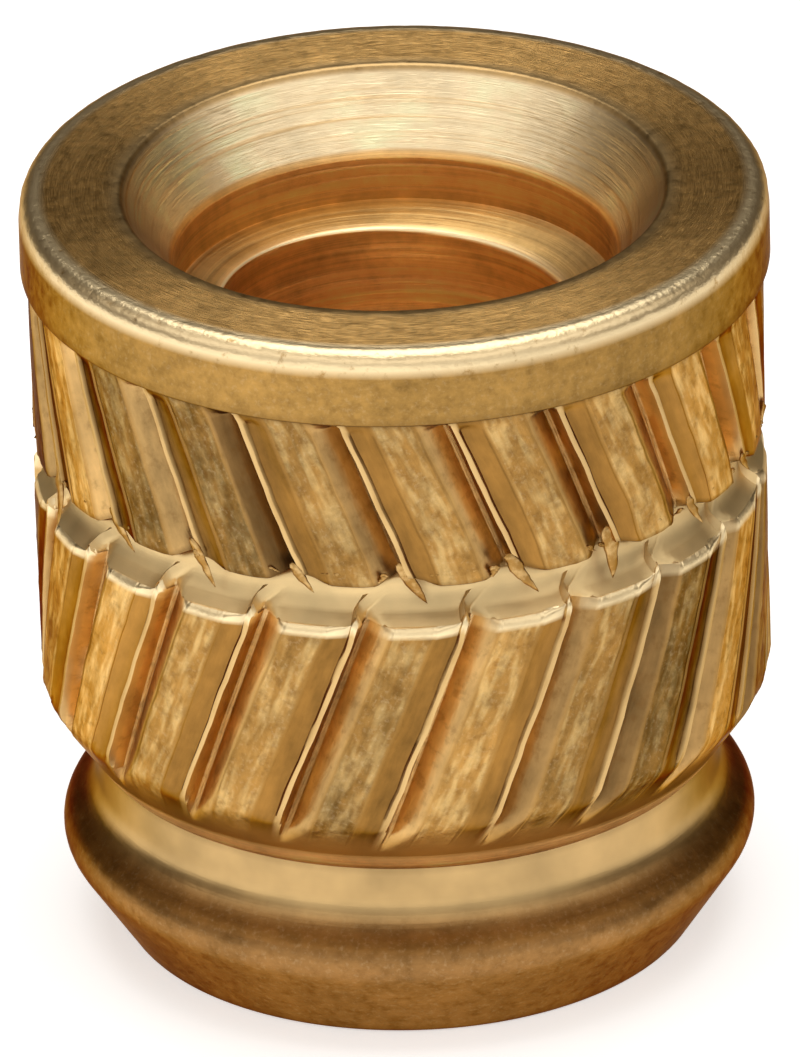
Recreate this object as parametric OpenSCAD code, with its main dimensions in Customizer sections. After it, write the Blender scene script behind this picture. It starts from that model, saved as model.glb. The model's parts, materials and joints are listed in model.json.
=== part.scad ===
// Threaded brass insert with a plain head, two opposed helical knurls and a pilot ring.
// One turned piece. It stands on its pilot end: Z = 0 is the bottom face, +Z leads out of the mouth.

/* [Overall] */
// Length from the bottom face to the top of the head
total_h = 7.5; // [6.6:0.1:12]

/* [Head] */
// Outside diameter of the plain head
head_d = 7.0; // [6.95:0.05:9]
// Height of the head's plain band
head_h = 0.74; // [0.4:0.02:1.6]
// Radius of the head's rounded top edge
head_edge_r = 0.16; // [0.04:0.02:0.3]

/* [Knurl] */
// Diameter over the teeth of both bands
knurl_d = 6.9; // [6.7:0.05:6.95]
// Number of teeth round each band
tooth_count = 21; // [14:1:28]
// Depth of a tooth gap below the teeth
tooth_depth = 0.22; // [0.08:0.02:0.24]
// Angle between the teeth and the axis, opposite in the two bands
helix_angle = 21.4; // [10:0.2:35]
// Share of the pitch that keeps the full diameter
land_share = 0.4; // [0.25:0.01:0.5]
// Share of the pitch that the long upward flank of a gap takes
flank_share = 0.24; // [0.15:0.01:0.3]
// Share of the pitch that the steep wall of a gap takes
wall_share = 0.05; // [0.02:0.01:0.08]
// Depth of the burnished margin between a land and the lip of the next gap
margin_depth = 0.035; // [0.01:0.005:0.06]
// Depth of a gap's lip below the teeth
lip_drop = 0.006; // [0.002:0.001:0.01]

/* [Bands] */
// Height of the upper band
upper_band_h = 1.61; // [0.8:0.01:2.6]
// Width of the turned groove between the bands, at the teeth
groove_w = 0.55; // [0.3:0.01:1.2]
// Depth of the groove's floor below the roots of the teeth
groove_drop = 0.03; // [0.01:0.01:0.5]
// Height that each slanted side of the groove takes
groove_side_h = 0.07; // [0.02:0.01:0.12]
// Height of the taper below the lower band
taper_h = 0.7; // [0.45:0.01:1.2]
// Diameter at the thin end of the taper
taper_end_d = 5.94; // [5.9:0.02:6.3]
// Radius that rounds the lower band into its taper
taper_edge_r = 0.45; // [0.1:0.05:0.8]

/* [Neck and pilot] */
// Diameter of the plain neck
neck_d = 5.86; // [5.2:0.02:5.9]
// Straight height of the neck
neck_h = 0.33; // [0.1:0.01:0.8]
// Radius of the hollow sweep from the neck to the pilot ring
sweep_r = 0.4; // [0.35:0.05:0.8]
// Largest diameter of the pilot ring
pilot_d = 6.51; // [6.2:0.01:6.6]
// Height of the pilot ring's largest diameter above the bottom face
pilot_h = 0.95; // [0.6:0.01:1.5]
// Radius of the pilot ring's rounded edge
pilot_edge_r = 0.3; // [0.15:0.01:0.4]
// Angle between the pilot ring's lower taper and the axis
pilot_angle = 33; // [15:1:45]

/* [Bore] */
// Diameter of the bore at the crests of its M4 thread
bore_d = 3.3; // [2.6:0.1:3.6]
// Diameter of the plain lead-in, at the roots of the thread
lead_in_d = 4.14; // [3.8:0.02:4.6]
// Depth of the lead-in below the top face
lead_in_h = 1.17; // [0.9:0.01:2]
// Angle between the shoulder under the lead-in and the axis
shoulder_angle = 78; // [40:1:80]
// Diameter of the countersink's mouth
mouth_d = 5.12; // [4.7:0.02:6]
// Depth of the countersink
mouth_h = 0.73; // [0.3:0.01:0.85]
// Width of the chamfer where the bore leaves the bottom face
exit_chamfer = 0.42; // [0.1:0.02:0.6]

/* [Hidden] */
$fn = 144;

// Facets on each rounded edge of the turned profile
arc_steps = 6;
// Turn of the teeth about the axis that one facet may take, in degrees
facet_turn = 2.2;
// Plain strip left between the tops of the upper gaps and the head
runout_h = 0.03;
// Height that the gaps run on, clear of the teeth, into the groove and past the taper
run_on_h = 0.05;
// Distance by which the edges of a gap pass the teeth before they turn outwards
edge_clear = 0.01;
// Length by which a cut passes the surface that it opens
overcut = 0.3;
// Turn of each band's first lip about the axis, in degrees from -Y
upper_phase = -4;
lower_phase = 3;

head_r = head_d / 2;
knurl_r = knurl_d / 2;
root_r = knurl_r - tooth_depth;
groove_r = root_r - groove_drop;
taper_end_r = taper_end_d / 2;
neck_r = neck_d / 2;
pilot_r = pilot_d / 2;
bore_r = bore_d / 2;
lead_in_r = lead_in_d / 2;

// Heights of the sections above the bottom face
head_z = total_h - head_h;
groove_top_z = head_z - upper_band_h;
groove_bottom_z = groove_top_z - groove_w;
crest_center = [pilot_r - pilot_edge_r, pilot_h];
sweep_reach = neck_r + sweep_r - crest_center[0];
sweep_rise = sqrt(pow(pilot_edge_r + sweep_r, 2) - pow(sweep_reach, 2));
sweep_center = [neck_r + sweep_r, pilot_h + sweep_rise];
neck_top_z = sweep_center[1] + neck_h;
taper_top_z = neck_top_z + taper_h;

taper_angle = atan2(knurl_r - taper_end_r, taper_h);
// Height at which the taper is as thin as the roots of the teeth, where the lower gaps end
gap_end_z = neck_top_z + (root_r - taper_end_r) / tan(taper_angle);
sweep_angle = atan2(sweep_rise, sweep_reach);
pilot_start = crest_center + pilot_edge_r * [cos(pilot_angle), -sin(pilot_angle)];
tip_r = pilot_start[0] - pilot_start[1] * tan(pilot_angle);

// Turn of the teeth, in degrees for each millimetre of height
helix_rate = tan(helix_angle) / knurl_r * 180 / PI;
pitch = 360 / tooth_count;

// Points of an arc about a centre, from one angle to another
function arc(center, r, from, to) =
    [for (i = [0:arc_steps]) center + r * [cos(from + (to - from) * i / arc_steps),
                                           sin(from + (to - from) * i / arc_steps)]];

// A point at a radius and at an angle from -Y, counter-clockwise seen from above
function at(r, angle) = [r * sin(angle), -r * cos(angle)];

// Outline of the turned blank, from the bottom face up to the top of the head
function blank_outline() = concat(
    [[0, 0], [tip_r, 0]],
    arc(crest_center, pilot_edge_r, -pilot_angle, sweep_angle),
    arc(sweep_center, sweep_r, 180 + sweep_angle, 180),
    [[neck_r, neck_top_z], [taper_end_r, neck_top_z]],
    arc([knurl_r - taper_edge_r, taper_top_z + taper_edge_r * tan(taper_angle / 2)],
        taper_edge_r, -taper_angle, 0),
    [[knurl_r, groove_bottom_z],
     [groove_r, groove_bottom_z + groove_side_h],
     [groove_r, groove_top_z - groove_side_h],
     [knurl_r, groove_top_z],
     [knurl_r, head_z],
     [head_r, head_z]],
    arc([head_r - head_edge_r, total_h - head_edge_r], head_edge_r, 0, 90),
    [[0, total_h]]);

// Plan of one tooth gap. Its lip is at angle 0, and its steep wall, root and long flank follow.
// The burnished margin lies before the lip.
function gap_outline(start) = let (
        wall = pitch * wall_share,
        flank = pitch * flank_share,
        margin = pitch * (1 - land_share - flank_share - 2 * wall_share),
        outside = knurl_r + overcut)
    [at(outside, start - margin),
     at(knurl_r + edge_clear, start - margin),
     at(knurl_r - margin_depth, start - margin / 2),
     at(knurl_r - lip_drop, start),
     at(root_r, start + wall),
     at(root_r, start + 2 * wall),
     at(knurl_r + edge_clear, start + 2 * wall + flank),
     at(outside, start + 2 * wall + flank)];

// All the gaps of one band, from one height to another.
// hand is 1 where the teeth rise clockwise seen from above, and -1 where they rise the other way.
module band_gaps(from_z, to_z, middle_z, phase, hand) {
    turn = helix_rate * (to_z - from_z);
    translate([0, 0, from_z])
        rotate([0, 0, phase + hand * helix_rate * (middle_z - from_z)])
            linear_extrude(height = to_z - from_z, twist = hand * turn,
                           slices = ceil(turn / facet_turn), $fn = 8)
                mirror([hand == 1 ? 1 : 0, 0])
                    for (i = [0:tooth_count - 1])
                        polygon(gap_outline(i * pitch));
}

module turned_blank() {
    rotate_extrude()
        polygon(blank_outline());
}

// Countersink, lead-in, shoulder, thread bore and exit chamfer, as one turned cut
module bore_cut() {
    mouth_slope = (mouth_d / 2 - lead_in_r) / mouth_h;
    shoulder_z = total_h - lead_in_h;
    rotate_extrude()
        polygon([[0, -overcut],
                 [bore_r + exit_chamfer + overcut, -overcut],
                 [bore_r, exit_chamfer],
                 [bore_r, shoulder_z - (lead_in_r - bore_r) / tan(shoulder_angle)],
                 [lead_in_r, shoulder_z],
                 [lead_in_r, total_h - mouth_h],
                 [mouth_d / 2 + overcut * mouth_slope, total_h + overcut],
                 [0, total_h + overcut]]);
}

module insert() {
    color("#b98f4a")
        difference() {
            turned_blank();
            band_gaps(groove_top_z - groove_side_h - run_on_h, head_z - runout_h,
                      (head_z + groove_top_z) / 2, upper_phase, 1);
            band_gaps(gap_end_z - run_on_h, groove_bottom_z + groove_side_h + run_on_h,
                      (groove_bottom_z + taper_top_z) / 2, lower_phase, -1);
            bore_cut();
        }
}

insert();
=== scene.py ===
# %% [markdown]
# # A knurled brass threaded insert
# The real part is turned from brass bar: a plain head, two bands of slanted teeth that
# lean opposite ways, a groove between them, a taper, a neck and a rounded pilot ring.
# A threaded bore runs through it. The whole of it is one closed skin, so this lesson builds
# one skin too: a narrow strip from the bottom to the bore, repeated round the axis.

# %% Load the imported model
import json
import math

import bmesh
import bpy
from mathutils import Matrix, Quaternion, Vector

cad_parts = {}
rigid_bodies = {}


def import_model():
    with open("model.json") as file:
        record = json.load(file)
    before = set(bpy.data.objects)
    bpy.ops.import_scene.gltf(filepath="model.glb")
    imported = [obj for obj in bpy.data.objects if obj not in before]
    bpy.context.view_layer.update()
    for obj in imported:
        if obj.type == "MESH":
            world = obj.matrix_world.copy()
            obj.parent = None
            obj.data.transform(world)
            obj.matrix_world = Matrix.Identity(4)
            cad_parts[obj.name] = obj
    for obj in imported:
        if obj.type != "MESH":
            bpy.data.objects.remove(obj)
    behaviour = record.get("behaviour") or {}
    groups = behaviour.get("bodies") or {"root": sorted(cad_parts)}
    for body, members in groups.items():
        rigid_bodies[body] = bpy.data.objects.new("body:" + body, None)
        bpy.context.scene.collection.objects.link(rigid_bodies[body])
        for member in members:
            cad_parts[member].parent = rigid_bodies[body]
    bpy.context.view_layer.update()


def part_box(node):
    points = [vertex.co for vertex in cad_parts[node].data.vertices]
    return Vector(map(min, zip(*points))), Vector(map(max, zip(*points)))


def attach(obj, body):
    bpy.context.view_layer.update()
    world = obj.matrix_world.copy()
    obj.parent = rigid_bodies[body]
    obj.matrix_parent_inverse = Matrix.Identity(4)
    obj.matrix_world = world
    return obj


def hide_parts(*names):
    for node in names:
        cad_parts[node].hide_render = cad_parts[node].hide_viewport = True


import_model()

low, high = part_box("insert")
MM = 0.001
total_h = (high.z - low.z) / MM
head_r = high.x / MM
print("insert: %.2f mm tall, head radius %.2f mm" % (total_h, head_r))

# %% [markdown]
# ## Names for the sizes
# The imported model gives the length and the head's radius. The other sizes are those of the
# turned part, named as a turner names them. Heights run up from the bottom face. Angles run
# round the axis from the front, counter-clockwise seen from above.

# %% Sizes of the turned part, in millimetres and degrees
head_h, head_edge_r = 0.74, 0.16
knurl_r, tooth_depth = 3.45, 0.22
teeth, helix_angle = 21, 21.4
lower_phase, upper_phase = 3, -4
root_r = knurl_r - tooth_depth
groove_r, groove_side_h = root_r - 0.03, 0.07
upper_h, groove_w = 1.61, 0.55
neck_r, neck_h = 2.93, 0.33
taper_end_r, taper_h = 2.97, 0.70
sweep_r = 0.40
pilot_r, pilot_z, pilot_edge_r, pilot_angle = 3.255, 0.95, 0.30, 33.0
lead_in_r, lead_in_h = 2.07, 1.17
mouth_r, mouth_h = 2.56, 0.73

# %% Heights of its sections
head_z = total_h - head_h
groove_top = head_z - upper_h
groove_bottom = groove_top - groove_w
groove_middle = (groove_bottom + groove_top) / 2
ring_r = pilot_r - pilot_edge_r
sweep_reach = neck_r + sweep_r - ring_r
sweep_rise = math.sqrt((pilot_edge_r + sweep_r) ** 2 - sweep_reach ** 2)
sweep_z = pilot_z + sweep_rise
taper_bottom = sweep_z + neck_h
band_bottom = taper_bottom + taper_h
pitch = 360 / teeth
helix_rate = math.degrees(math.tan(math.radians(helix_angle)) / knurl_r)
print("lower band: %.2f to %.2f mm" % (band_bottom, groove_bottom))
print("upper band: %.2f to %.2f mm" % (groove_top, head_z))

# %% [markdown]
# ## Arithmetic on sockets
# Geometry Nodes and shaders are both networks of nodes. Wiring them one link at a time hides
# the sum behind the wires, so a small class wraps a socket and lets Python's own signs add
# the Math nodes. Every other node comes from one method, `add`, which takes a node's type,
# its settings and what goes into its sockets.

# %% A socket that can be added and multiplied
class Value:
    """An output socket, with the arithmetic of Math nodes."""

    def __init__(self, wiring, socket):
        self.wiring, self.socket = wiring, socket

    def __add__(self, other): return self.wiring.math("ADD", self, other)
    def __radd__(self, other): return self.wiring.math("ADD", other, self)
    def __sub__(self, other): return self.wiring.math("SUBTRACT", self, other)
    def __rsub__(self, other): return self.wiring.math("SUBTRACT", other, self)
    def __mul__(self, other): return self.wiring.math("MULTIPLY", self, other)
    def __rmul__(self, other): return self.wiring.math("MULTIPLY", other, self)
    def __truediv__(self, other): return self.wiring.math("DIVIDE", self, other)
    def __pow__(self, other): return self.wiring.math("POWER", self, other)
    def sine(self): return self.wiring.math("SINE", self)
    def cosine(self): return self.wiring.math("COSINE", self)
    def at_least(self, other): return self.wiring.math("MAXIMUM", self, other)
    def at_most(self, other): return self.wiring.math("MINIMUM", self, other)

    def output(self, name):
        """Another output of the same node."""
        return Value(self.wiring, self.socket.node.outputs[name])

    def between(self, start, end):
        """0 below start and 1 above end, with a smooth step between."""
        return self.wiring.add("ShaderNodeMapRange", {"interpolation_type": "SMOOTHSTEP"},
                               {"Value": self, "From Min": start, "From Max": end})


# %% One method for every node
def draw_curve(mapping, places):
    """Give a Float Curve its places, with straight lines between them."""
    points = mapping.curves[0].points
    points[0].location, points[1].location = places[0], places[-1]
    for place in places[1:-1]:
        points.new(*place)
    for point in points:
        point.handle_type = "VECTOR"
    mapping.update()


class Nodes:
    """The nodes and links of one tree."""

    def __init__(self, tree):
        self.tree = tree

    def add(self, kind, settings=None, inputs=None, output=0):
        """A node of this kind. A list of inputs goes into one socket that takes several."""
        node = self.tree.nodes.new(kind)
        for name, value in (settings or {}).items():
            if name == "points":
                draw_curve(node.mapping, value)
            else:
                setattr(node, name, value)
        for key, given in (inputs or {}).items():
            for value in given if isinstance(given, list) else [given]:
                if isinstance(value, Value):
                    self.tree.links.new(value.socket, node.inputs[key])
                else:
                    node.inputs[key].default_value = value
        return Value(self, node.outputs[output]) if node.outputs else None


# %% The nodes that every tree here uses
class Wiring(Nodes):
    """A tree's nodes, with short names for the common ones."""

    def math(self, operation, *values):
        return self.add("ShaderNodeMath", {"operation": operation}, dict(enumerate(values)))

    def vector(self, operation, *values, output=0):
        return self.add("ShaderNodeVectorMath", {"operation": operation},
                        dict(enumerate(values)), output)

    def scaled(self, vector, factor):
        return self.add("ShaderNodeVectorMath", {"operation": "SCALE"},
                        {"Vector": vector, "Scale": factor})

    def joined(self, x, y, z):
        return self.add("ShaderNodeCombineXYZ", {}, {"X": x, "Y": y, "Z": z})

    def split(self, vector):
        parts = self.add("ShaderNodeSeparateXYZ", {}, {0: vector})
        return [parts.output(name) for name in "XYZ"]

    def mix(self, factor, a, b, mode="MIX"):
        return self.add("ShaderNodeMix", {"data_type": "RGBA", "blend_type": mode},
                        {0: factor, 6: a, 7: b}, 2)

    def noise(self, vector, scale, detail=2.0, roughness=0.5):
        return self.add("ShaderNodeTexNoise", {}, {
            "Vector": vector, "Scale": scale, "Detail": detail, "Roughness": roughness})


# %% [markdown]
# ## The section across one tooth
# A knurling wheel presses these teeth; it does not cut them. The metal of each gap is pushed
# aside, so a gap has a long smooth flank on one side and a short steep wall on the other. The
# wall ends in a raised, burnished lip, and behind the lip lies a faint hollow. What is left
# between is the land, the untouched skin of the bar. Grooves cut by a Boolean would leave a
# tangled mesh here, so the section is given as points, closer together where it turns sharply,
# and each point becomes one column of the mesh.

# %% Depth below the teeth, across one pitch
section = [
    # share of the pitch, depth in millimetres
    (0.000, tooth_depth), (0.030, tooth_depth - 0.004), (0.095, 0.150), (0.165, 0.088),
    (0.225, 0.034), (0.262, 0.008), (0.288, 0.000), (0.370, -0.004), (0.460, -0.006),
    (0.550, -0.004), (0.630, 0.000), (0.662, 0.016), (0.685, 0.008), (0.740, 0.026),
    (0.825, 0.046), (0.880, 0.044), (0.903, 0.006), (0.930, -0.010), (0.950, 0.004),
    (0.966, 0.100), (0.982, 0.205), (1.000, tooth_depth),
]
shares = [share for share, depth in section]
depths = [depth for share, depth in section]
lip_share = 0.930
columns = len(section) - 1
print("columns round the part:", columns * teeth)

# %% [markdown]
# ## The profile from the bottom to the bore
# A lathe works along a profile. A Screw modifier could spin it, but then every column would
# run straight up, and these teeth slant. So each row of the strip is one point of the profile,
# with the name of the zone that it lies in. Straight runs and arcs give all of them, and the
# roundings that a tool or wear leaves on a real edge are just short arcs.

# %% Runs, arcs and rounded corners
def run(start, end, steps):
    """Points from start to end, without the start."""
    return [(start[0] + (end[0] - start[0]) * i / steps, start[1] + (end[1] - start[1]) * i / steps)
            for i in range(1, steps + 1)]


def arc(centre, radius, first, last, steps):
    """Points of an arc, by angles in degrees."""
    turns = [math.radians(first + (last - first) * i / steps) for i in range(steps + 1)]
    return [(centre[0] + radius * math.cos(t), centre[1] + radius * math.sin(t)) for t in turns]


def corner(before, at, after, size, steps=3):
    """Points that round a corner of the profile, as a quadratic curve."""
    def towards(a, b):
        length = math.hypot(b[0] - a[0], b[1] - a[1])
        return (a[0] + (b[0] - a[0]) * size / length, a[1] + (b[1] - a[1]) * size / length)
    p, q = towards(at, before), towards(at, after)
    found = []
    for i in range(steps + 1):
        t = i / steps
        found.append(tuple((1 - t) ** 2 * p[k] + 2 * t * (1 - t) * at[k] + t * t * q[k]
                           for k in (0, 1)))
    return found


rows = []


def zone(name, points):
    rows.extend((name, r, z) for r, z in points)


# %% Rows of the foot, the pilot ring and the neck
sweep_turn = math.degrees(math.atan2(sweep_rise, sweep_reach))
start_turn = math.radians(pilot_angle)
ring_start = (ring_r + pilot_edge_r * math.cos(start_turn),
              pilot_z - pilot_edge_r * math.sin(start_turn))
tip_r = ring_start[0] - ring_start[1] * math.tan(start_turn)
zone("exit", [(lead_in_r, 0.0)])
zone("foot", run((lead_in_r, 0.0), (tip_r - 0.06, 0.0), 2))
zone("pilot", corner((0, 0), (tip_r, 0), ring_start, 0.05))
zone("pilot", run((tip_r, 0), ring_start, 6)[:-1])
zone("pilot", arc((ring_r, pilot_z), pilot_edge_r, -pilot_angle, sweep_turn, 10))
zone("sweep", arc((neck_r + sweep_r, sweep_z), sweep_r, 180 + sweep_turn, 180, 9)[1:])
zone("neck", run((neck_r, sweep_z), (neck_r, taper_bottom - 0.02), 4))
print("rows up to the neck:", len(rows))

# %% Rows of the taper and the lower band
taper_round = 0.13
taper_start, taper_top = (taper_end_r, taper_bottom), (knurl_r, band_bottom)
band_end = (knurl_r, groove_bottom)
near_end, edge_start = (knurl_r, groove_bottom - 0.20), (knurl_r, groove_bottom - 0.09)
zone("lower", [(taper_end_r - 0.01, taper_bottom)])
zone("lower", run(taper_start, taper_top, 10)[:-2])
zone("lower", corner(taper_start, taper_top, band_end, taper_round, 4))
zone("lower", run((knurl_r, band_bottom + taper_round), near_end, 14))
zone("lower", run(near_end, (knurl_r, groove_bottom - 0.10), 3))

# %% Rows of the groove, with the cove at its lower side
cove = (groove_r + 0.12, groove_bottom + 0.075)
groove_low, groove_high = (groove_r, groove_bottom + 0.20), (groove_r, groove_top - groove_side_h)
upper_start, upper_end = (knurl_r, groove_top), (knurl_r, head_z)
zone("lower", corner(edge_start, band_end, cove, 0.085, 5)[1:])
zone("groove", corner(band_end, cove, groove_low, 0.09, 4))
zone("groove", run(groove_low, (groove_r, groove_high[1] - 0.04), 4)[:-1])
zone("groove", corner(groove_low, groove_high, upper_start, 0.04, 3))
print("rows up to the groove's top:", len(rows))

# %% Rows of the upper band and the head
near_groove, near_head = (knurl_r, groove_top + 0.24), (knurl_r, head_z - 0.14)
edge_z = total_h - head_edge_r
zone("upper", corner(groove_high, upper_start, upper_end, 0.03, 2)[:-1])
zone("upper", run(upper_start, near_groove, 5))
zone("upper", run(near_groove, near_head, 10))
zone("upper", run(near_head, (knurl_r, head_z - 0.01), 4))
zone("under", corner(upper_end, (head_r, head_z), (head_r, total_h), 0.025, 3))
zone("collar", run((head_r, head_z + 0.025), (head_r, edge_z), 6)[:-1])
zone("rim", arc((head_r - head_edge_r, edge_z), head_edge_r, 0, 90, 9))
zone("face", run((head_r - head_edge_r, total_h), (mouth_r + 0.08, total_h), 7)[:-1])

# %% Rows of the countersunk mouth and the plain lead-in
cone_start, cone_end = (mouth_r, total_h), (lead_in_r, total_h - mouth_h)
lead_in_end = total_h - lead_in_h
zone("mouth", corner((head_r, total_h), cone_start, cone_end, 0.035, 4))
zone("cone", run(cone_start, cone_end, 10)[:-1])
zone("lead", corner(cone_start, cone_end, (lead_in_r, 0), 0.025, 2))
zone("lead", run((lead_in_r, cone_end[1] - 0.025), (lead_in_r, lead_in_end), 3))
print("rows from the foot to the bore:", len(rows))

# %% [markdown]
# ## One strip of the skin
# Between two neighbouring roots lies one tooth. A strip as wide as that, from the bottom face
# over the outside and into the bore, holds everything that repeats. In the bands its columns
# slant with the teeth, so each sharp lip lies along one edge of the mesh and stays crisp. The
# upper band's section is mirrored, because its teeth lean the other way. In the plain zones
# the columns drift back to an even spacing.

# %% Steps and blends
def smooth(x, start, end):
    """0 up to start and 1 from end on, with a smooth step between."""
    t = min(max((x - start) / (end - start), 0.0), 1.0)
    return t * t * (3 - 2 * t)


def raised(x, start, full, fading, end):
    """1 from full to fading, 0 before start and after end, with smooth steps between."""
    return smooth(x, start, full) * (1 - smooth(x, fading, end))


def blend(a, b, t):
    return a + (b - a) * t


# %% Where a column lies
even = [i / columns for i in range(columns + 1)]
mirrored = [1 - share for share in reversed(shares)]


def lower_turn(c, z):
    rise = z - (band_bottom + groove_bottom) / 2
    return lower_phase + helix_rate * rise + (shares[c] - lip_share) * pitch


def upper_turn(c, z):
    rise = z - (head_z + groove_top) / 2
    return upper_phase - helix_rate * rise + (mirrored[c] - 1 + lip_share) * pitch


top_turn = upper_turn(0, head_z)
foot_turn = top_turn - pitch


def turn_at(name, c, r, z):
    """Angle of a column from the front, in degrees."""
    if name == "lower":
        return lower_turn(c, z)
    if name in ("upper", "under", "collar"):
        return upper_turn(c, min(z, head_z))
    if name == "groove":
        return blend(lower_turn(c, groove_bottom), upper_turn(c, groove_top),
                     smooth(z, groove_bottom + groove_side_h, groove_top - groove_side_h))
    if name in ("exit", "foot", "pilot", "sweep", "neck"):
        return blend(foot_turn + even[c] * pitch, lower_turn(c, taper_bottom),
                     smooth(z, pilot_z, taper_bottom))
    spread = 1 - smooth(r, mouth_r, head_r) if name in ("rim", "face") else 1.0
    return blend(upper_turn(c, head_z), top_turn + even[c] * pitch, spread)


# %% How deep a column is, and how far the wheel pushed it
def depth_at(name, c, z):
    """Depth of the tooth section at a column. It fades where the wheel lifts, under the head."""
    if name not in ("lower", "groove", "upper"):
        return knurl_r - head_r
    if name == "lower" or name == "groove" and z < groove_middle:
        return depths[c]
    return depths[columns - c] * (1 - smooth(z, head_z - 0.13, head_z - 0.01))


def push_of_ends(name, c, z):
    """How far the wheel pushed a tooth's end along the axis, in millimetres.

    The upper teeth droop over the groove, and the lower lips rise in peaks at its edge.
    """
    if name not in ("lower", "upper", "groove"):
        return 0.0
    droop = -0.10 * raised(shares[columns - c], 0.03, 0.35, 0.60, 0.94)
    droop *= raised(z, groove_top - 0.30, groove_top - 0.08, groove_top, groove_top + 0.30)
    peak = 0.10 * raised(shares[c], 0.86, 0.925, 0.932, 0.965)
    peak *= raised(z, groove_bottom - 0.20, groove_bottom, groove_bottom + 0.05, groove_top - 0.2)
    return droop + peak


# %% [markdown]
# ## Marks for the finish
# The finish has to know what each spot of the skin is: a land, a lip, a gap, a turned cut. A
# painted texture could carry that, but it would need an unwrapped skin and would blur at the
# lips. The profile already knows its zones and the section its shares, so every point stores
# one number, mostly from 0 to 1, for each mark, and the material reads these numbers by name.

# %% Marks across the teeth
across_tooth = {
    # mark: the shares of the pitch where it starts, is full, begins to fade and ends
    "land": (0.25, 0.29, 0.63, 0.67),
    "margin": (0.64, 0.69, 0.89, 0.92),
    "hollow": (0.78, 0.86, 0.885, 0.910),
    "lip": (0.885, 0.910, 0.950, 0.966),
    "play": (0.10, 0.26, 0.945, 0.985),
}


def tooth_marks(share, r, z):
    """Marks in the two bands. They fade down the taper, where the wheel runs out."""
    found = {name: raised(share, *places) for name, places in across_tooth.items()}
    run_out = smooth(z, taper_bottom + 0.28, taper_bottom + 0.62)
    for name in ("land", "margin", "hollow", "lip"):
        found[name] *= run_out
    in_gap = 1 - smooth(share, 0.21, 0.28) + smooth(share, 0.945, 0.965)
    found["gap"] = in_gap * (run_out * smooth(r, root_r - 0.04, root_r))
    found["taper"] = 1 - run_out
    found["play"] *= raised(z, band_bottom - 0.2, band_bottom + 0.2, head_z - 0.16, head_z - 0.03)
    found["side"] = (share - 0.46) / 0.4
    # The edge mark paints a highlight along the top edge of the lower band.
    at_edge = smooth(z, groove_bottom - 0.085, groove_bottom - 0.05) * (z < groove_top - 0.1)
    found["edge"] = at_edge * (1 - 0.6 * found["gap"])
    # The crease mark paints shade under the head and at the foot of the upper band, over the
    # groove.
    over_groove = 1 - smooth(z, groove_top, groove_top + 0.05)
    found["crease"] = max(smooth(z, head_z - 0.06, head_z - 0.01),
                          0.8 * over_groove * (z > groove_bottom + 0.1))
    return found


# %% Marks of the turned zones, and all of them together
def turned_marks(name, z):
    """Marks outside the teeth. The taper's thin end shares the orange cut of the bore."""
    # The crease marks paint shade in corners: under the groove's top, at the neck's top, at the
    # foot and under the head.
    if name == "groove":
        # The edge mark paints a highlight on the groove's lower edge.
        return {"turned": 1.0, "pale": 1.0,
                "edge": 1 - smooth(z, groove_bottom, groove_bottom + 0.03),
                "crease": 0.9 * smooth(z, groove_top - 0.14, groove_top - 0.07)}
    if name == "neck":
        return {"turned": 1.0, "crease": 0.5 * smooth(z, taper_bottom - 0.06, taper_bottom)}
    # On the sweep and the pilot ring a darker colour and a dark band are painted shade; the ring is
    # also rougher.
    if name == "sweep":
        return {"turned": 1.0, "dull": 1 - smooth(z, pilot_z + 0.24, pilot_z + 0.50),
                "stain": 0.8 * (1 - smooth(z, pilot_z + 0.21, pilot_z + 0.45))}
    if name in ("pilot", "foot"):
        return {"dull": 1.0, "crease": 0.6 * (1 - smooth(z, 0.0, 0.10)),
                "stain": 0.8 * smooth(z, pilot_z + 0.12, pilot_z + 0.18)}
    if name in ("collar", "under"):
        return {"skin": 1.0, "crease": 0.9 * (1 - smooth(z, head_z, head_z + 0.05))}
    return {"rim": {"rim": 1.0}, "mouth": {"rim": 0.25, "skin": 0.75}, "face": {"faced": 1.0},
            "cone": {"cone": 1.0}}.get(name, {"bored": 1.0})


mark_names = ("land", "margin", "hollow", "lip", "edge", "gap", "taper", "turned", "pale", "dull",
              "skin", "rim", "faced", "cone", "bored", "stain", "loose", "crease", "play", "side")


def marks(name, c, r, z):
    """What the surface is at one point of the strip."""
    share = shares[columns - c] if name == "upper" else shares[c]
    is_tooth = name in ("lower", "upper") and r > root_r - 0.12
    found = dict.fromkeys(mark_names, 0.0)
    found.update(tooth_marks(share, r, z) if is_tooth else turned_marks(name, z))
    found["across"] = share
    return found


# %% The strip as a mesh
bore_step = 3


def make_strip():
    """The strip's mesh. Its rows at the bore keep every third column, to meet the thread's."""
    places, faces, kept, numbers = [], [], {}, []
    for name, r, z in rows:
        numbers.append({})
        for c in range(0, columns + 1, bore_step if name in ("exit", "lead") else 1):
            numbers[-1][c] = len(places)
            turn = math.radians(turn_at(name, c, r, z))
            radius = min(r, knurl_r - depth_at(name, c, z))
            height = z + push_of_ends(name, c, z)
            places.append((radius * math.sin(turn) * MM, -radius * math.cos(turn) * MM,
                           height * MM))
            for key, value in marks(name, c, radius, z).items():
                kept.setdefault(key, []).append(value)
    for below, above in zip(numbers, numbers[1:]):
        shared = sorted(set(below) & set(above))
        for left, right in zip(shared, shared[1:]):
            bottom = [below[c] for c in range(left, right + 1) if c in below]
            top = [above[c] for c in range(right, left - 1, -1) if c in above]
            faces.append(bottom + top)
    mesh = bpy.data.meshes.new("strip")
    mesh.from_pydata(places, [], faces)
    for key, values in kept.items():
        mesh.attributes.new(key, "FLOAT", "POINT").data.foreach_set("value", values)
    return mesh


strip_mesh = make_strip()
print("strip: %d points, %d faces" % (len(strip_mesh.vertices), len(strip_mesh.polygons)))
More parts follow.
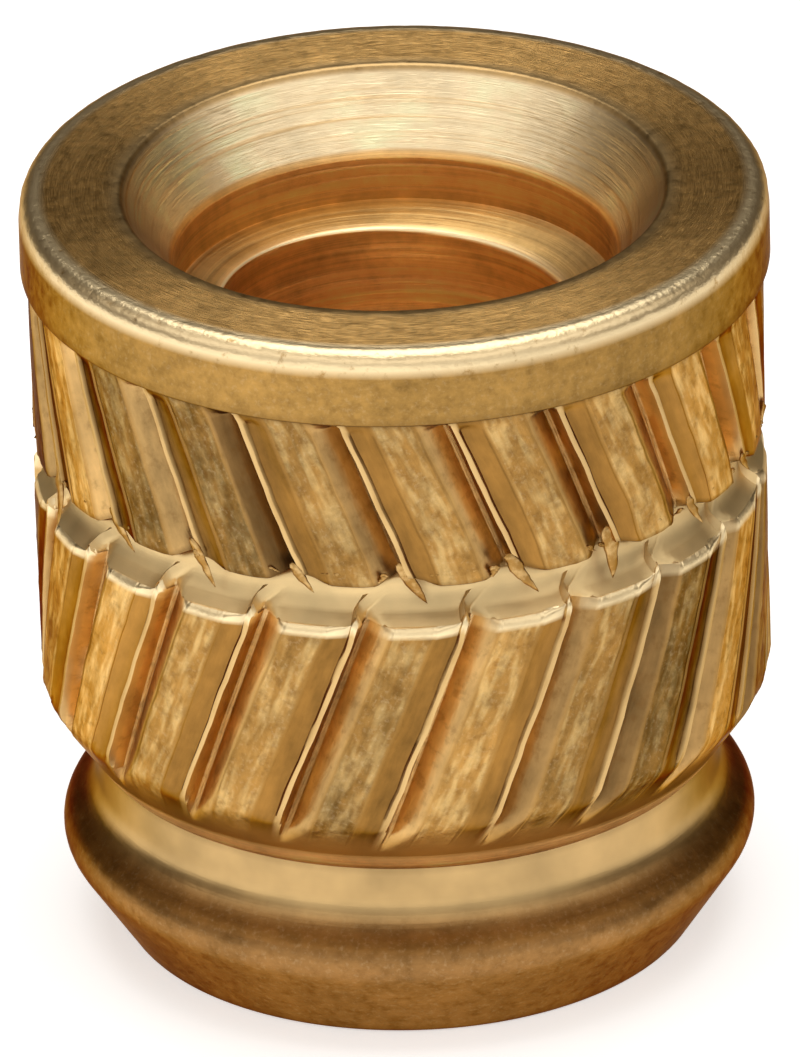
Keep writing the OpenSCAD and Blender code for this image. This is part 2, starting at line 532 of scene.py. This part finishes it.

# %% [markdown]
# ## A brass with marks of its making
# Bare brass is one metal, yet it shows many faces: fresh turned cuts are pale, the drawn skin
# of the bar is a deeper gold and mottled, pressed flanks are smooth and dark, and rubbed rims
# are bright. On top of these, edges carry a painted highlight, and corners, creases, some gaps
# and the pilot ring carry painted shade. Each could be a material of its own, but then a
# hard line would part them. So one material reads the marks and mixes the finishes, each
# colour being that of the metal seen against a white sheet.

# %% The colours of the finishes
drawn_gold = (0.41, 0.220, 0.058, 1)
fresh_gold = (0.66, 0.445, 0.175, 1)
collar_gold = (0.40, 0.228, 0.062, 1)
margin_gold = (0.33, 0.165, 0.038, 1)
gap_brown = (0.66, 0.410, 0.155, 1)
# Painted shade for the darker gaps.
gap_painted_shade = (0.12, 0.052, 0.012, 1)
taper_gold = (0.58, 0.325, 0.095, 1)
lip_gold = (0.70, 0.470, 0.200, 1)
turned_pale = (0.54, 0.360, 0.155, 1)
groove_pale = (0.80, 0.600, 0.305, 1)
# Painted shade on the pilot ring and the lower sweep.
pilot_shade_brown = (0.35, 0.182, 0.060, 1)
face_gold = (0.76, 0.455, 0.155, 1)
rubbed = (0.94, 0.74, 0.43, 1)
# Painted highlight for the bands' edges and the thread's crest.
painted_edge_highlight = (1.0, 0.80, 0.47, 1)
cone_pale = (1.0, 0.81, 0.51, 1)
bore_orange = (0.88, 0.53, 0.20, 1)
ledge_brown = (0.50, 0.320, 0.120, 1)
# Painted shade for creases, corners and the hollows behind the lips.
painted_shade = (0.12, 0.060, 0.018, 1)
# Brown of real stains, and also of a painted band of shade over the pilot ring's top.
stain_and_shade_brown = (0.22, 0.095, 0.020, 1)


# %% A new material, and the marks that it reads
class Finish(Wiring):
    """The wiring of a new material."""

    def __init__(self, name):
        self.material = bpy.data.materials.new(name)
        self.material.use_nodes = True
        self.material.node_tree.nodes.clear()
        super().__init__(self.material.node_tree)

    def mark(self, name):
        return self.add("ShaderNodeAttribute", {"attribute_name": name}).output("Fac")


metal = Finish("brass")
brass = metal.material
land, margin, lip, gap = [metal.mark(name) for name in ("land", "margin", "lip", "gap")]
turned, dull, skin, rim = [metal.mark(name) for name in ("turned", "dull", "skin", "rim")]
faced, cone, bored, pale = [metal.mark(name) for name in ("faced", "cone", "bored", "pale")]
crease, loose, tone = [metal.mark(name) for name in ("crease", "loose", "tone")]

# %% [markdown]
# ## Patterns in the metal
# Three sizes of plain noise give blotches, mottling and grain. The pressed strips are streaked
# along the teeth, so their noise reads the share across a tooth, the height and the tooth's
# number. A turning tool leaves rings, which could be a wave along the height, but real rings
# are broken and uneven. So they are a noise squeezed round the axis until each mark runs on.
# The finest rings lie far below what the eye parts, and they give the turned face its sheen:
# bright towards the light and away from it, and dark to the sides.

# %% Blotches, mottling, grain and streaks
spot = metal.scaled(metal.add("ShaderNodeTexCoord").output("Object"), 1 / MM)
x, y, z = metal.split(spot)
radius = (x * x + y * y) ** 0.5
blotch = metal.noise(spot, 1.6, 3.0)
mottle = metal.noise(spot, 8.0, 4.0, 0.62)
grain = metal.noise(spot, 22.0, 3.0, 0.6)
along = metal.joined(metal.mark("across") * 8.0, z * 2.0, metal.mark("tooth") * 5.0)
streak = metal.noise(along, 1.0, 3.0, 0.6)
patch = metal.noise(metal.vector("ADD", along, (7.3, 1.9, 0.4)), 1.3, 1.6, 0.55)


# %% Rings of the turning tool
def round_noise(spread, scale, detail, roughness):
    """Noise round the axis. The smaller its spread, the further a mark runs on."""
    place = metal.joined(radius, x / radius * spread, y / radius * spread)
    return metal.add("ShaderNodeTexNoise", {"noise_dimensions": "4D"}, {
        "Vector": place, "W": z, "Scale": scale, "Detail": detail, "Roughness": roughness})


rings = round_noise(0.022, 14.0, 3.0, 0.65)
short_rings = round_noise(1.1, 30.0, 3.0, 0.6)
fine_rings = round_noise(0.05, 180.0, 1.0, 0.5)

# %% [markdown]
# ## Colour
# The finishes are laid over each other as a maker's marks are: first the skin of the bar, then
# what the wheel and the tools changed, with painted shade in some gaps and on the pilot ring,
# then a light and dark cloud over all of it, and last the wear, the stains, painted highlights on
# edges and painted shade in creases and hollows. Each tooth and each gap also has a tone of its
# own, from dark to light: painted light and shade, set tooth by tooth from fixed seeds.

# %% The finishes, one over another
def laid_over(colour, layers):
    """A colour with others laid over it, each with its share."""
    for share, upper_colour in layers:
        colour = metal.mix(share, colour, upper_colour)
    return colour


colour = laid_over(drawn_gold, [
    (skin, collar_gold),
    (land * patch.between(0.40, 0.68) * 0.70, fresh_gold),
    (margin, margin_gold),
    (turned, turned_pale),
    (pale, groove_pale),
    (faced, face_gold),
    (cone, cone_pale),
    (cone * rings.between(0.50, 0.68) * 0.55, face_gold),
    (gap, gap_brown),
    # Painted shade in the gaps that the shade mark picks.
    (gap * metal.mark("shade") * 0.9, gap_painted_shade),
    (metal.mark("taper"), taper_gold),
    (bored, bore_orange),
    (metal.mark("ledge"), ledge_brown),
    # Painted shade: the pilot ring and the lower sweep are darker.
    (dull, pilot_shade_brown),
    # Painted shade: a dark band over the pilot ring's top and the sweep's foot.
    (metal.mark("stain"), stain_and_shade_brown)])

# %% Light and dark clouds, and the tone of each tooth
darkest = 0.35
pressed = land + margin + gap
rough_skin = land * 0.8 + skin + faced * 0.5 + dull * 0.6 + margin * 0.35 + gap * 0.3
cloud = ((blotch - 0.5) * 0.8 + (mottle - 0.5) * 1.1 * rough_skin
         + (streak - 0.5) * 0.9 * pressed
         + (short_rings - 0.5) * 0.7 * (faced * 0.4 + skin * 0.4 + dull * 0.4))
bore_cloud = (rings - 0.5) * 1.6 + (blotch - 0.4) * 0.9 + (mottle - 0.5) * 0.5
# The tone of each tooth is painted light and shade on its land, margin and gap.
level = (1.0 + cloud * (1.0 - bored) + bored * bore_cloud
         + tone * (land * 0.6 + margin * 0.4 + gap * 0.2)).at_least(darkest)
colour = metal.mix(1.0, colour, metal.joined(level, level, level), "MULTIPLY")

# %% Stains, flecks, rubbed rims, and painted highlights and painted shade
stains = (1.0 - mottle.between(0.30, 0.50)) * (land * 0.30 + faced * 0.20 + skin * 0.15
                                               + dull * 0.3 + gap * 0.3)
flecks = grain.between(0.50, 0.76) * (land * 0.14 + skin * 0.10 + faced * 0.16 + dull * 0.10)
colour = laid_over(colour, [
    (stains, stain_and_shade_brown),
    (flecks, rubbed),
    (lip * (0.65 + 0.35 * streak.between(0.3, 0.6)), lip_gold),
    # Painted highlight on the bands' edges and on the thread's crest.
    (metal.mark("edge") * mottle.between(0.0, 0.35), painted_edge_highlight),
    (rim * mottle.between(0.18, 0.44), rubbed),
    (loose * mottle.between(0.40, 0.65) * 0.8, lip_gold),
    # Painted shade in the hollows behind the lips and in the creases.
    (metal.mark("hollow") * 0.25, painted_shade),
    (crease * (0.65 + 0.7 * (mottle - 0.5)), painted_shade)])

# %% [markdown]
# ## Roughness and relief
# What parts a drawn skin from a fresh cut is less its colour than its sharpness. Each finish
# adds its own roughness, and each pattern its own height, in millimetres. Relief as small as
# this could be real geometry only at millions of faces, so a Bump node gives it.

# %% Roughness, relief and the shader
rough = (0.30 + land * 0.10 + skin * 0.08 + faced * 0.08 + dull * 0.12 + bored * 0.10 + rim * 0.04
         + pale * 0.20 + loose * 0.1 + gap * 0.06 + (mottle - 0.5) * 0.25 * rough_skin)
relief = (mottle * (land * 0.010 + skin * 0.004 + faced * 0.004 + dull * 0.005 + rim * 0.010)
          + grain * (land * 0.002 + skin * 0.001 + faced * 0.001 + dull * 0.001 + rim * 0.002)
          + streak * (land * 0.009 + margin * 0.006 + gap * 0.008)
          + rings * (turned * 0.002 + cone * 0.012 + faced * 0.003 + bored * 0.010 + dull * 0.003)
          + fine_rings * (faced * 0.014 + cone * 0.003)
          + short_rings * (faced * 0.002 + cone * 0.001 + turned * 0.001 + bored * 0.002))
bump = metal.add("ShaderNodeBump", {}, {"Strength": 1.0, "Distance": MM, "Height": relief})
shader = metal.add("ShaderNodeBsdfPrincipled", {}, {
    "Base Color": colour, "Metallic": 1.0, "Specular Tint": (0.30, 0.17, 0.08, 1),
    "Roughness": rough, "Normal": bump})
metal.add("ShaderNodeOutputMaterial", {}, {"Surface": shader})
print("brass: %d nodes" % len(brass.node_tree.nodes))

# %% [markdown]
# ## A rule that makes a mesh
# What repeats follows a rule, and a Geometry Nodes tree is such a rule with named inputs. A
# table holds the name and value of each input, so a size is written once. The tree works as a
# modifier; its result is then turned into a plain mesh, which holds no instances.

# %% A geometry tree with named inputs
class Rule(Wiring):
    """A geometry tree whose inputs are named and sized by a table."""

    def __init__(self, name, sizes):
        super().__init__(bpy.data.node_groups.new(name, "GeometryNodeTree"))
        self.sizes = sizes
        self.tree.is_modifier = True
        sockets = self.tree.interface
        sockets.new_socket("Geometry", in_out="INPUT", socket_type="NodeSocketGeometry")
        for label, value in sizes.items():
            is_object = isinstance(value, bpy.types.Object)
            kind = "Object" if is_object else "Int" if isinstance(value, int) else "Float"
            socket = sockets.new_socket(label, in_out="INPUT", socket_type="NodeSocket" + kind)
            if not is_object:
                socket.default_value = value
        sockets.new_socket("Geometry", in_out="OUTPUT", socket_type="NodeSocketGeometry")
        self.given = self.add("NodeGroupInput")

    def take(self, name):
        """One of the tree's inputs."""
        return self.given.output(name)

    def mark(self, name):
        return self.add("GeometryNodeInputNamedAttribute", {"data_type": "FLOAT"}, {"Name": name})

    def stored(self, geometry, name, value, domain="POINT"):
        return self.add("GeometryNodeStoreNamedAttribute", {"data_type": "FLOAT", "domain": domain},
                        {"Geometry": geometry, "Name": name, "Value": value})

    def chance(self, least, number, seed):
        """A random share from least to 1, for each number."""
        return self.add("FunctionNodeRandomValue", {"data_type": "FLOAT"}, {
            2: least, 3: 1.0, "ID": number, "Seed": seed}, 1)

    def end(self, geometry, weld):
        """Weld points nearer than this, make real faces, and give them the brass."""
        welded = self.add("GeometryNodeMergeByDistance", {}, {
            "Geometry": geometry, "Distance": weld})
        plain = self.add("GeometryNodeRealizeInstances", {}, {"Geometry": welded})
        dressed = self.add("GeometryNodeSetMaterial", {}, {"Geometry": plain, "Material": brass})
        self.add("NodeGroupOutput", {}, {0: dressed})


# %% From a rule to a plain mesh
def made_by(rule, mesh, name):
    """The plain mesh that a rule makes of a mesh, as a new object at the origin."""
    holder = bpy.data.objects.new(name, mesh)
    bpy.context.scene.collection.objects.link(holder)
    modifier = holder.modifiers.new("shape", "NODES")
    modifier.node_group = rule.tree
    for item in rule.tree.interface.items_tree:
        if item.item_type == "SOCKET" and item.in_out == "INPUT" and item.name in rule.sizes:
            modifier[item.identifier] = rule.sizes[item.name]
    bpy.context.view_layer.update()
    graph = bpy.context.evaluated_depsgraph_get()
    result = bpy.data.meshes.new_from_object(holder.evaluated_get(graph))
    holder.modifiers.remove(modifier)
    holder.data = result
    result.name = name
    return holder


# %% [markdown]
# ## The screw thread in the bore
# A thread is a section that climbs one pitch in each turn. A spiral of faces would need caps
# and a join to the bore. Here a flat grid is rolled up instead: its width becomes one turn
# and its rows climb the bore, shifted by a pitch from one side to the other, so that the two
# sides meet. Rows that would pass an end of the bore are held on it. The first turns below
# the mouth are faint, the thread ends a little higher on one side of the shoulder, and a few
# more rows cross the ledge to the lead-in. Every third column of the strip meets one of these.

# %% Sizes of the thread
crest_r, shoulder_slope = 1.65, math.tan(math.radians(78))
thread_run_out = 0.11
thread_end = (total_h - lead_in_h - (lead_in_r - crest_r) / shoulder_slope
              - thread_run_out / 2)
tap = Rule("screw thread", {
    "Columns": columns // bore_step * teeth, "Rows per pitch": 18, "Pitches": 11,
    "Ledge rows": 9, "Pitch": 0.70 * MM, "Start": 0.13 * MM, "Crest radius": crest_r * MM,
    "Root radius": 2.03 * MM, "Lead-in radius": lead_in_r * MM, "Thread end": thread_end * MM,
    "Run-out": thread_run_out * MM, "Top": lead_in_end * MM, "Full below": 4.9 * MM,
    "Faint above": 5.35 * MM, "First turn": math.radians(top_turn)})

# %% The grid, and the height of each row
rows_up = tap.take("Rows per pitch") * tap.take("Pitches")
all_rows = rows_up + tap.take("Ledge rows")
grid = tap.add("GeometryNodeMeshGrid", {}, {
    "Size X": 1.0, "Size Y": 1.0, "Vertices X": tap.take("Columns") + 1.0,
    "Vertices Y": all_rows + 1.0})
flat_x, flat_y, flat_z = tap.split(tap.add("GeometryNodeInputPosition"))
around = flat_x + 0.5
row = (flat_y + 0.5) * all_rows
turn = tap.take("First turn") + around * (2 * math.pi)
height = tap.take("Start") + tap.take("Pitch") * (row / tap.take("Rows per pitch") + around - 2.0)
last_turn = tap.take("Thread end") - tap.take("Run-out") * turn.sine()
height = height.at_least(0.0).at_most(last_turn)

# %% The section of the thread
part = (height - tap.take("Start")) / tap.take("Pitch") + 3.0 - around
deep = tap.add("ShaderNodeFloatCurve", {"points": [
    (0.0, 0.04), (0.03, 0.0), (0.22, 0.0), (0.25, 0.04), (0.53, 0.96), (0.57, 1.0),
    (0.68, 1.0), (0.72, 0.96), (1.0, 0.04)]}, {"Value": tap.math("FRACT", part)})
worn = height.between(tap.take("Full below"), tap.take("Faint above"))
full_depth = tap.take("Root radius") - tap.take("Crest radius")
radius = tap.take("Crest radius") + full_depth * deep * (1.0 - 0.93 * worn)
radius = radius.at_least(tap.take("Lead-in radius") - height)

# %% The ledge above it
ledge = ((row - rows_up) / tap.take("Ledge rows")).at_least(0.0)
outward = tap.add("ShaderNodeFloatCurve", {"points": [
    (0.0, 0.0), (0.11, 0.012), (0.22, 0.04), (0.33, 0.09), (1.0, 1.0)]}, {"Value": ledge})
upward = tap.add("ShaderNodeFloatCurve", {"points": [
    (0.0, 0.0), (0.11, 0.12), (0.22, 0.22), (0.33, 0.28), (1.0, 1.0)]}, {"Value": ledge})
radius = radius + (tap.take("Lead-in radius") - radius) * outward
height = height + (tap.take("Top") - height) * upward
on_ledge = ledge.between(0.22, 0.40)

# %% Rolled up, with its faces towards the axis
marked = tap.stored(grid, "bored", 1.0)
marked = tap.stored(marked, "ledge", on_ledge)
# The rounded crest where the ledge meets the thread carries a painted highlight.
marked = tap.stored(marked, "edge", ledge.between(0.0, 0.10) * (1.0 - on_ledge))
place = tap.joined(radius * turn.sine(), radius * turn.cosine() * -1.0, height)
rolled = tap.add("GeometryNodeSetPosition", {}, {"Geometry": marked, "Position": place})
tap.end(tap.add("GeometryNodeFlipFaces", {}, {"Mesh": rolled}), 1e-7)
thread = made_by(tap, bpy.data.meshes.new("empty"), "thread")
print("thread: %d faces" % len(thread.data.polygons))

# %% [markdown]
# ## The strip, repeated round the axis
# No two teeth of a knurl come out alike: each land is tilted a little, each lip stands higher
# or lower and wanders, and the metal between is pitted. An Array modifier would repeat one
# tooth exactly. This rule sets a copy of the strip at every tooth and gives each its own tilt,
# drop, tone and shade, from fixed seeds; each band has seeds of its own for the tones. The tone
# and the shade are painted light and shade on the lands and in the gaps. It then roughens the
# skin, and welds the copies and the thread into one closed shell.

# %% Sizes and seeds of the ring
ring = Rule("ring of teeth", {
    "Teeth": teeth, "Land tilt": 0.016 * MM, "Lip drop": 0.010 * MM, "Pitting": 0.022 * MM,
    "Wobble": 0.055 * MM, "Groove height": groove_middle * MM, "Seed": 3,
    "Lower tone": 2770, "Upper tone": 14938, "Lower shade": 54884, "Upper shade": 4384,
    "Thread": thread})

# %% A copy of the strip at every tooth
index = ring.add("GeometryNodeInputIndex")
spots = ring.add("GeometryNodePoints", {}, {"Count": ring.take("Teeth")})
turn = ring.joined(0.0, 0.0, index * (2 * math.pi) / ring.take("Teeth"))
copies = ring.add("GeometryNodeInstanceOnPoints", {}, {
    "Points": spots, "Instance": ring.take("Geometry"), "Rotation": turn})
numbered = ring.stored(copies, "tooth", index, "INSTANCE")
strips = ring.add("GeometryNodeRealizeInstances", {}, {"Geometry": numbered})

# %% Where a point lies, and a chance for its tooth
place = ring.add("GeometryNodeInputPosition")
in_upper = ring.math("GREATER_THAN", ring.split(place)[2], ring.take("Groove height"))
outward = ring.vector("NORMALIZE", ring.vector("MULTIPLY", place, (1.0, 1.0, 0.0)))
around = ring.vector("CROSS_PRODUCT", outward, (0.0, 0.0, 1.0))
spot = ring.scaled(place, 1 / MM)


def tooth_chance(lower_seed, upper_seed):
    """A random share from -1 to 1 for each tooth, with a seed for each band."""
    tooth = ring.mark("tooth")
    lower, upper = ring.chance(-1.0, tooth, lower_seed), ring.chance(-1.0, tooth, upper_seed)
    return lower + (upper - lower) * in_upper


# %% Tilt, drop, pits and wobble
seed, play = ring.take("Seed"), ring.mark("play")
tilt = tooth_chance(seed, seed + 1.0) * ring.mark("side") * ring.take("Land tilt")
drop = (tooth_chance(seed + 2.0, seed + 3.0) - 1.0) * ring.take("Lip drop")
pits = (ring.noise(spot, 6.0, 3.0) - 1.0) * ring.take("Pitting") * (
    ring.mark("land") + ring.mark("lip") + ring.mark("rim"))
wander = (ring.noise(spot, 2.6) - 0.5) * ring.take("Wobble") * play
offset = ring.vector("ADD", ring.scaled(outward, (tilt + drop) * play + pits),
                     ring.scaled(around, wander))
moved = ring.add("GeometryNodeSetPosition", {}, {"Geometry": strips, "Offset": offset})

# %% Tones of the teeth, and one closed shell
sharp_angle = math.radians(38)
# The tone and the shade of each tooth are painted light and shade.
toned = ring.stored(moved, "tone", tooth_chance(ring.take("Lower tone"), ring.take("Upper tone")))
shade = tooth_chance(ring.take("Lower shade"), ring.take("Upper shade"))
shaded = ring.stored(toned, "shade", shade.between(0.0, 1.0))
bore_skin = ring.add("GeometryNodeObjectInfo", {}, {"Object": ring.take("Thread")})
both = [shaded, bore_skin.output("Geometry")]
ring.end(ring.add("GeometryNodeJoinGeometry", {}, {"Geometry": both}), 2e-7)
body = made_by(ring, strip_mesh, "insert_body")
bpy.data.objects.remove(thread)
body.data.shade_smooth()
body.data.set_sharp_from_angle(angle=sharp_angle)
print("body: %d faces" % len(body.data.polygons))

# %% [markdown]
# ## Burrs
# Where the wheel left the upper band it tore the lips off as short blunt tails, which hang
# over the groove, and the groove's edge carries small flakes. They could be sculpted one by
# one, but there are 84 of them. So each burr is a flat grid rolled into a flat spindle with
# two closed ends, laid along the slant of the teeth, and one rule with a fixed seed places
# them and gives each its own length, width, curl and torn outline.

# %% Sizes and seed of the burrs
burr = Rule("burrs", {
    "Teeth": teeth, "Burrs a tooth": 4, "Radius": 3.42 * MM, "Edge": (groove_top + 0.02) * MM,
    "First turn": math.radians(upper_turn(1, groove_top)), "Slant": math.radians(helix_rate) / MM,
    "Length": 0.46 * MM, "Width": 0.068 * MM, "Thickness": 0.022 * MM, "Seed": 4})


def burr_chance(number):
    """A random share from 0 to 1 for each burr; each number is a draw of its own."""
    return burr.chance(0.0, burr.mark("burr"), burr.take("Seed") + number)


# %% A flat grid for each burr
grid = burr.add("GeometryNodeMeshGrid", {}, {
    "Size X": 1.0, "Size Y": 1.0, "Vertices X": 9, "Vertices Y": 13})
spots = burr.add("GeometryNodeMeshLine", {}, {
    "Count": burr.take("Teeth") * burr.take("Burrs a tooth")})
copies = burr.add("GeometryNodeInstanceOnPoints", {}, {"Points": spots, "Instance": grid})
numbered = burr.stored(copies, "burr", burr.add("GeometryNodeInputIndex"), "INSTANCE")
grids = burr.add("GeometryNodeRealizeInstances", {}, {"Geometry": numbered})

# %% One tail and three flakes to a tooth
tail_least, tail_more = 0.45, 0.95
flake_least, flake_more = 0.16, 0.22
number = burr.mark("burr")
kind = burr.math("MODULO", number, burr.take("Burrs a tooth"))
is_tail = burr.math("LESS_THAN", kind, 0.5)
tooth = burr.math("FLOOR", number / burr.take("Burrs a tooth"))
size = (is_tail * (tail_least + tail_more * burr_chance(0))
        + (1.0 - is_tail) * (flake_least + flake_more * burr_chance(1)))
beside = (1.0 - is_tail) * (burr_chance(2) - 0.5)

# %% Its plump, torn outline
flat_x, flat_y, flat_z = burr.split(burr.add("GeometryNodeInputPosition"))
around, along = (flat_x + 0.5) * (2 * math.pi), flat_y + 0.5
plump = ((along ** 0.6) * math.pi).sine().at_least(0.0) ** 0.75
plump = plump * (1.0 + 0.25 * (burr_chance(6) - 0.5))
torn = burr.noise(burr.joined(along * 6.0, number * 3.7, around.cosine()), 1.0)
half_width = burr.take("Width") * plump * (0.4 + 0.6 * size) * (0.3 + 1.4 * torn)
half_thick = burr.take("Thickness") * plump * (0.4 + 1.2 * torn)

# %% Where it hangs, and how it curls
height = burr.take("Edge") + burr.take("Length") * size * (0.30 - along)
turn = (burr.take("First turn") + (tooth + beside) * (2 * math.pi) / burr.take("Teeth")
        - (height - burr.take("Edge")) * burr.take("Slant")
        + (burr_chance(3) - 0.5) * along * along * 0.08)
curl = (burr_chance(4) - 0.55) * 0.20 * along * along * size
stand_out = 1.0 + curl * 0.35 - 0.016 * along + (torn - 0.5) * 0.02 * plump
radius = burr.take("Radius") * stand_out + half_thick * around.sine()
turn = turn + half_width * around.cosine() / burr.take("Radius")

# %% Rolled up into spindles
spindle = burr.joined(radius * turn.sine(), radius * turn.cosine() * -1.0, height)
shaped = burr.add("GeometryNodeSetPosition", {}, {"Geometry": grids, "Position": spindle})
loosened = burr.stored(shaped, "loose", 1.0)
burr.end(burr.stored(loosened, "tone", burr_chance(5) - 0.5), 2e-7)
burrs = made_by(burr, bpy.data.meshes.new("no burrs"), "insert_burrs")
burrs.data.shade_smooth()
print("burrs: %d faces" % len(burrs.data.polygons))

# %% [markdown]
# ## Closed skins
# Solid metal has no open edge, and its faces look outwards. Every edge of a closed skin has
# two faces, and a skin that faces outwards has a volume above zero, so both can be measured.

# %% Check that each skin is closed and faces outwards
for piece in (body, burrs):
    check = bmesh.new()
    check.from_mesh(piece.data)
    open_edges = [e for e in check.edges if len(e.link_faces) != 2]
    volume = check.calc_volume(signed=True) / MM ** 3
    print("%s: %d open edges, %.3f mm3" % (piece.name, len(open_edges), volume))
    check.free()

# %% [markdown]
# ## In place of the imported part
# The imported part is plain, and both pieces stand for it. They are parts of one solid body, so
# they move with it.

# %% Stand in for the imported insert
for piece in (body, burrs):
    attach(piece, "root")
    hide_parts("insert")

# %% [markdown]
# ## The table and the studio
# The part stands on a plain white sheet. Bare metal shows what it reflects: here the walls
# of the part mirror the sheet round it, and only its rims and the funnel of the mouth look up
# into the lamp. A real sheet gets darker away from the lamp, and a plain lamp would draw that
# as a grey line on the metal. So the sheet also glows a little in what the metal mirrors: more
# with distance, and less to the right, which gives the part a darker side.

# %% The sheet
sheet_lift = 0.52
sheet_drop = 0.000005


def make_floor(radius=0.4, steps=96):
    """A round sheet just below the part's bottom face."""
    mesh = bpy.data.meshes.new("floor")
    turns = [2 * math.pi * i / steps for i in range(steps)]
    mesh.from_pydata([(radius * math.cos(t), radius * math.sin(t), -sheet_drop) for t in turns],
                     [], [tuple(range(steps))])
    floor = bpy.data.objects.new("floor", mesh)
    bpy.context.scene.collection.objects.link(floor)
    sheet = Finish("white sheet")
    path = sheet.add("ShaderNodeLightPath")
    paper = sheet.add("ShaderNodeBsdfDiffuse", {}, {"Color": (0.88, 0.88, 0.88, 1)})
    spot = sheet.add("ShaderNodeTexCoord").output("Object")
    far = sheet.vector("LENGTH", spot, output=1)
    to_right = sheet.split(spot)[0]
    glow = (1.0 + 0.75 * far.between(0.020, 0.100)) * (1.0 - 0.6 * to_right.between(0.002, 0.012))
    mirrored_ray = path.output("Is Glossy Ray") + path.output("Is Transmission Ray")
    seen = path.output("Is Camera Ray") + mirrored_ray * glow
    lift = sheet.add("ShaderNodeEmission", {}, {
        "Color": (1, 1, 1, 1), "Strength": seen * sheet_lift})
    both = sheet.add("ShaderNodeAddShader", {}, {0: paper, 1: lift})
    sheet.add("ShaderNodeOutputMaterial", {}, {"Surface": both})
    mesh.materials.append(sheet.material)
    return floor


make_floor()

# %% [markdown]
# ## The lamp
# A bare bulb would leave one hard spark on each edge. One wide soft box hangs overhead and a
# little to the back, so the rims and the back of the funnel mirror it as broad bright bands.

# %% The soft box overhead
middle = Vector((0, 0, total_h / 2 * MM))


def direction(azimuth, elevation):
    """Unit vector away from the part, by degrees: azimuth 0 is to the front, 90 to the right."""
    a, e = math.radians(azimuth), math.radians(elevation)
    return Vector((math.sin(a) * math.cos(e), -math.cos(a) * math.cos(e), math.sin(e)))


def soft_box(name, azimuth, elevation, distance, width, height, radiance):
    """An area lamp that faces the part. Its surface looks this bright, whatever its size."""
    lamp = bpy.data.lights.new(name, "AREA")
    lamp.shape, lamp.size, lamp.size_y = "RECTANGLE", width, height
    lamp.energy = radiance * math.pi * width * height
    box = bpy.data.objects.new(name, lamp)
    box.location = middle + direction(azimuth, elevation) * distance
    box.rotation_euler = (middle - box.location).to_track_quat("-Z", "Y").to_euler()
    bpy.context.scene.collection.objects.link(box)
    return box


lamp_box = soft_box("soft box overhead", azimuth=0, elevation=99, distance=0.16,
                    width=0.15, height=0.16, radiance=2.3)
print("soft box: %.2f W" % lamp_box.data.energy)

# %% [markdown]
# ## The room
# The rest of the studio is only what the metal mirrors. The room behind the part is nearly
# dark, which keeps its edges crisp. In front of it there is a low light over the table, which
# fills the teeth, and a band of light at half height, which the rounded rims pick up.

# %% The dim room round the studio
world = bpy.data.worlds.new("room")
bpy.context.scene.world = world
world.use_nodes = True
world.node_tree.nodes.clear()
room = Wiring(world.node_tree)
side, back, rise = room.split(room.add("ShaderNodeTexCoord").output("Generated"))
ahead = 0.0 - back
front = ahead.between(-0.75, 0.75)
light_band = rise.between(0.34, 0.50) * (1.0 - rise.between(0.70, 0.86))
light_band = light_band * ahead.between(-0.45, 0.15)
low_light = (1.0 - rise.between(0.25, 0.45)) * ahead.between(0.30, 0.75)
brightness = 0.05 + front * 0.12 + low_light * 0.55 + light_band * 1.1
tint = room.mix(light_band + low_light, (1.0, 0.80, 0.55, 1), (1.0, 0.98, 0.96, 1))
lit = room.add("ShaderNodeBackground", {}, {"Color": tint, "Strength": brightness})
room.add("ShaderNodeOutputWorld", {}, {"Surface": lit})

# %% [markdown]
# ## The camera
# A long lens from well above the table keeps the rims almost true ellipses. The camera is
# rolled a little, as a hand-held one is.

# %% The camera
elevation, roll = 27.35, 1.48
lens, sensor = 900.0, 36.0
shown_height = 0.009907
distance = lens / sensor * shown_height
aim = Vector((-0.00002, 0, 0.003904))
camera = bpy.data.objects.new("camera", bpy.data.cameras.new("camera"))
camera.data.lens = lens
camera.data.clip_start, camera.data.clip_end = 0.01, 2.0
camera.location = aim + direction(0, elevation) * distance
facing = (aim - camera.location).to_track_quat("-Z", "Y")
camera.rotation_euler = (facing @ Quaternion((0, 0, 1), math.radians(-roll))).to_euler()
bpy.context.scene.collection.objects.link(camera)
bpy.context.scene.camera = camera
bpy.context.scene.view_settings.view_transform = "Standard"
print("camera %.0f mm away" % (distance / MM))
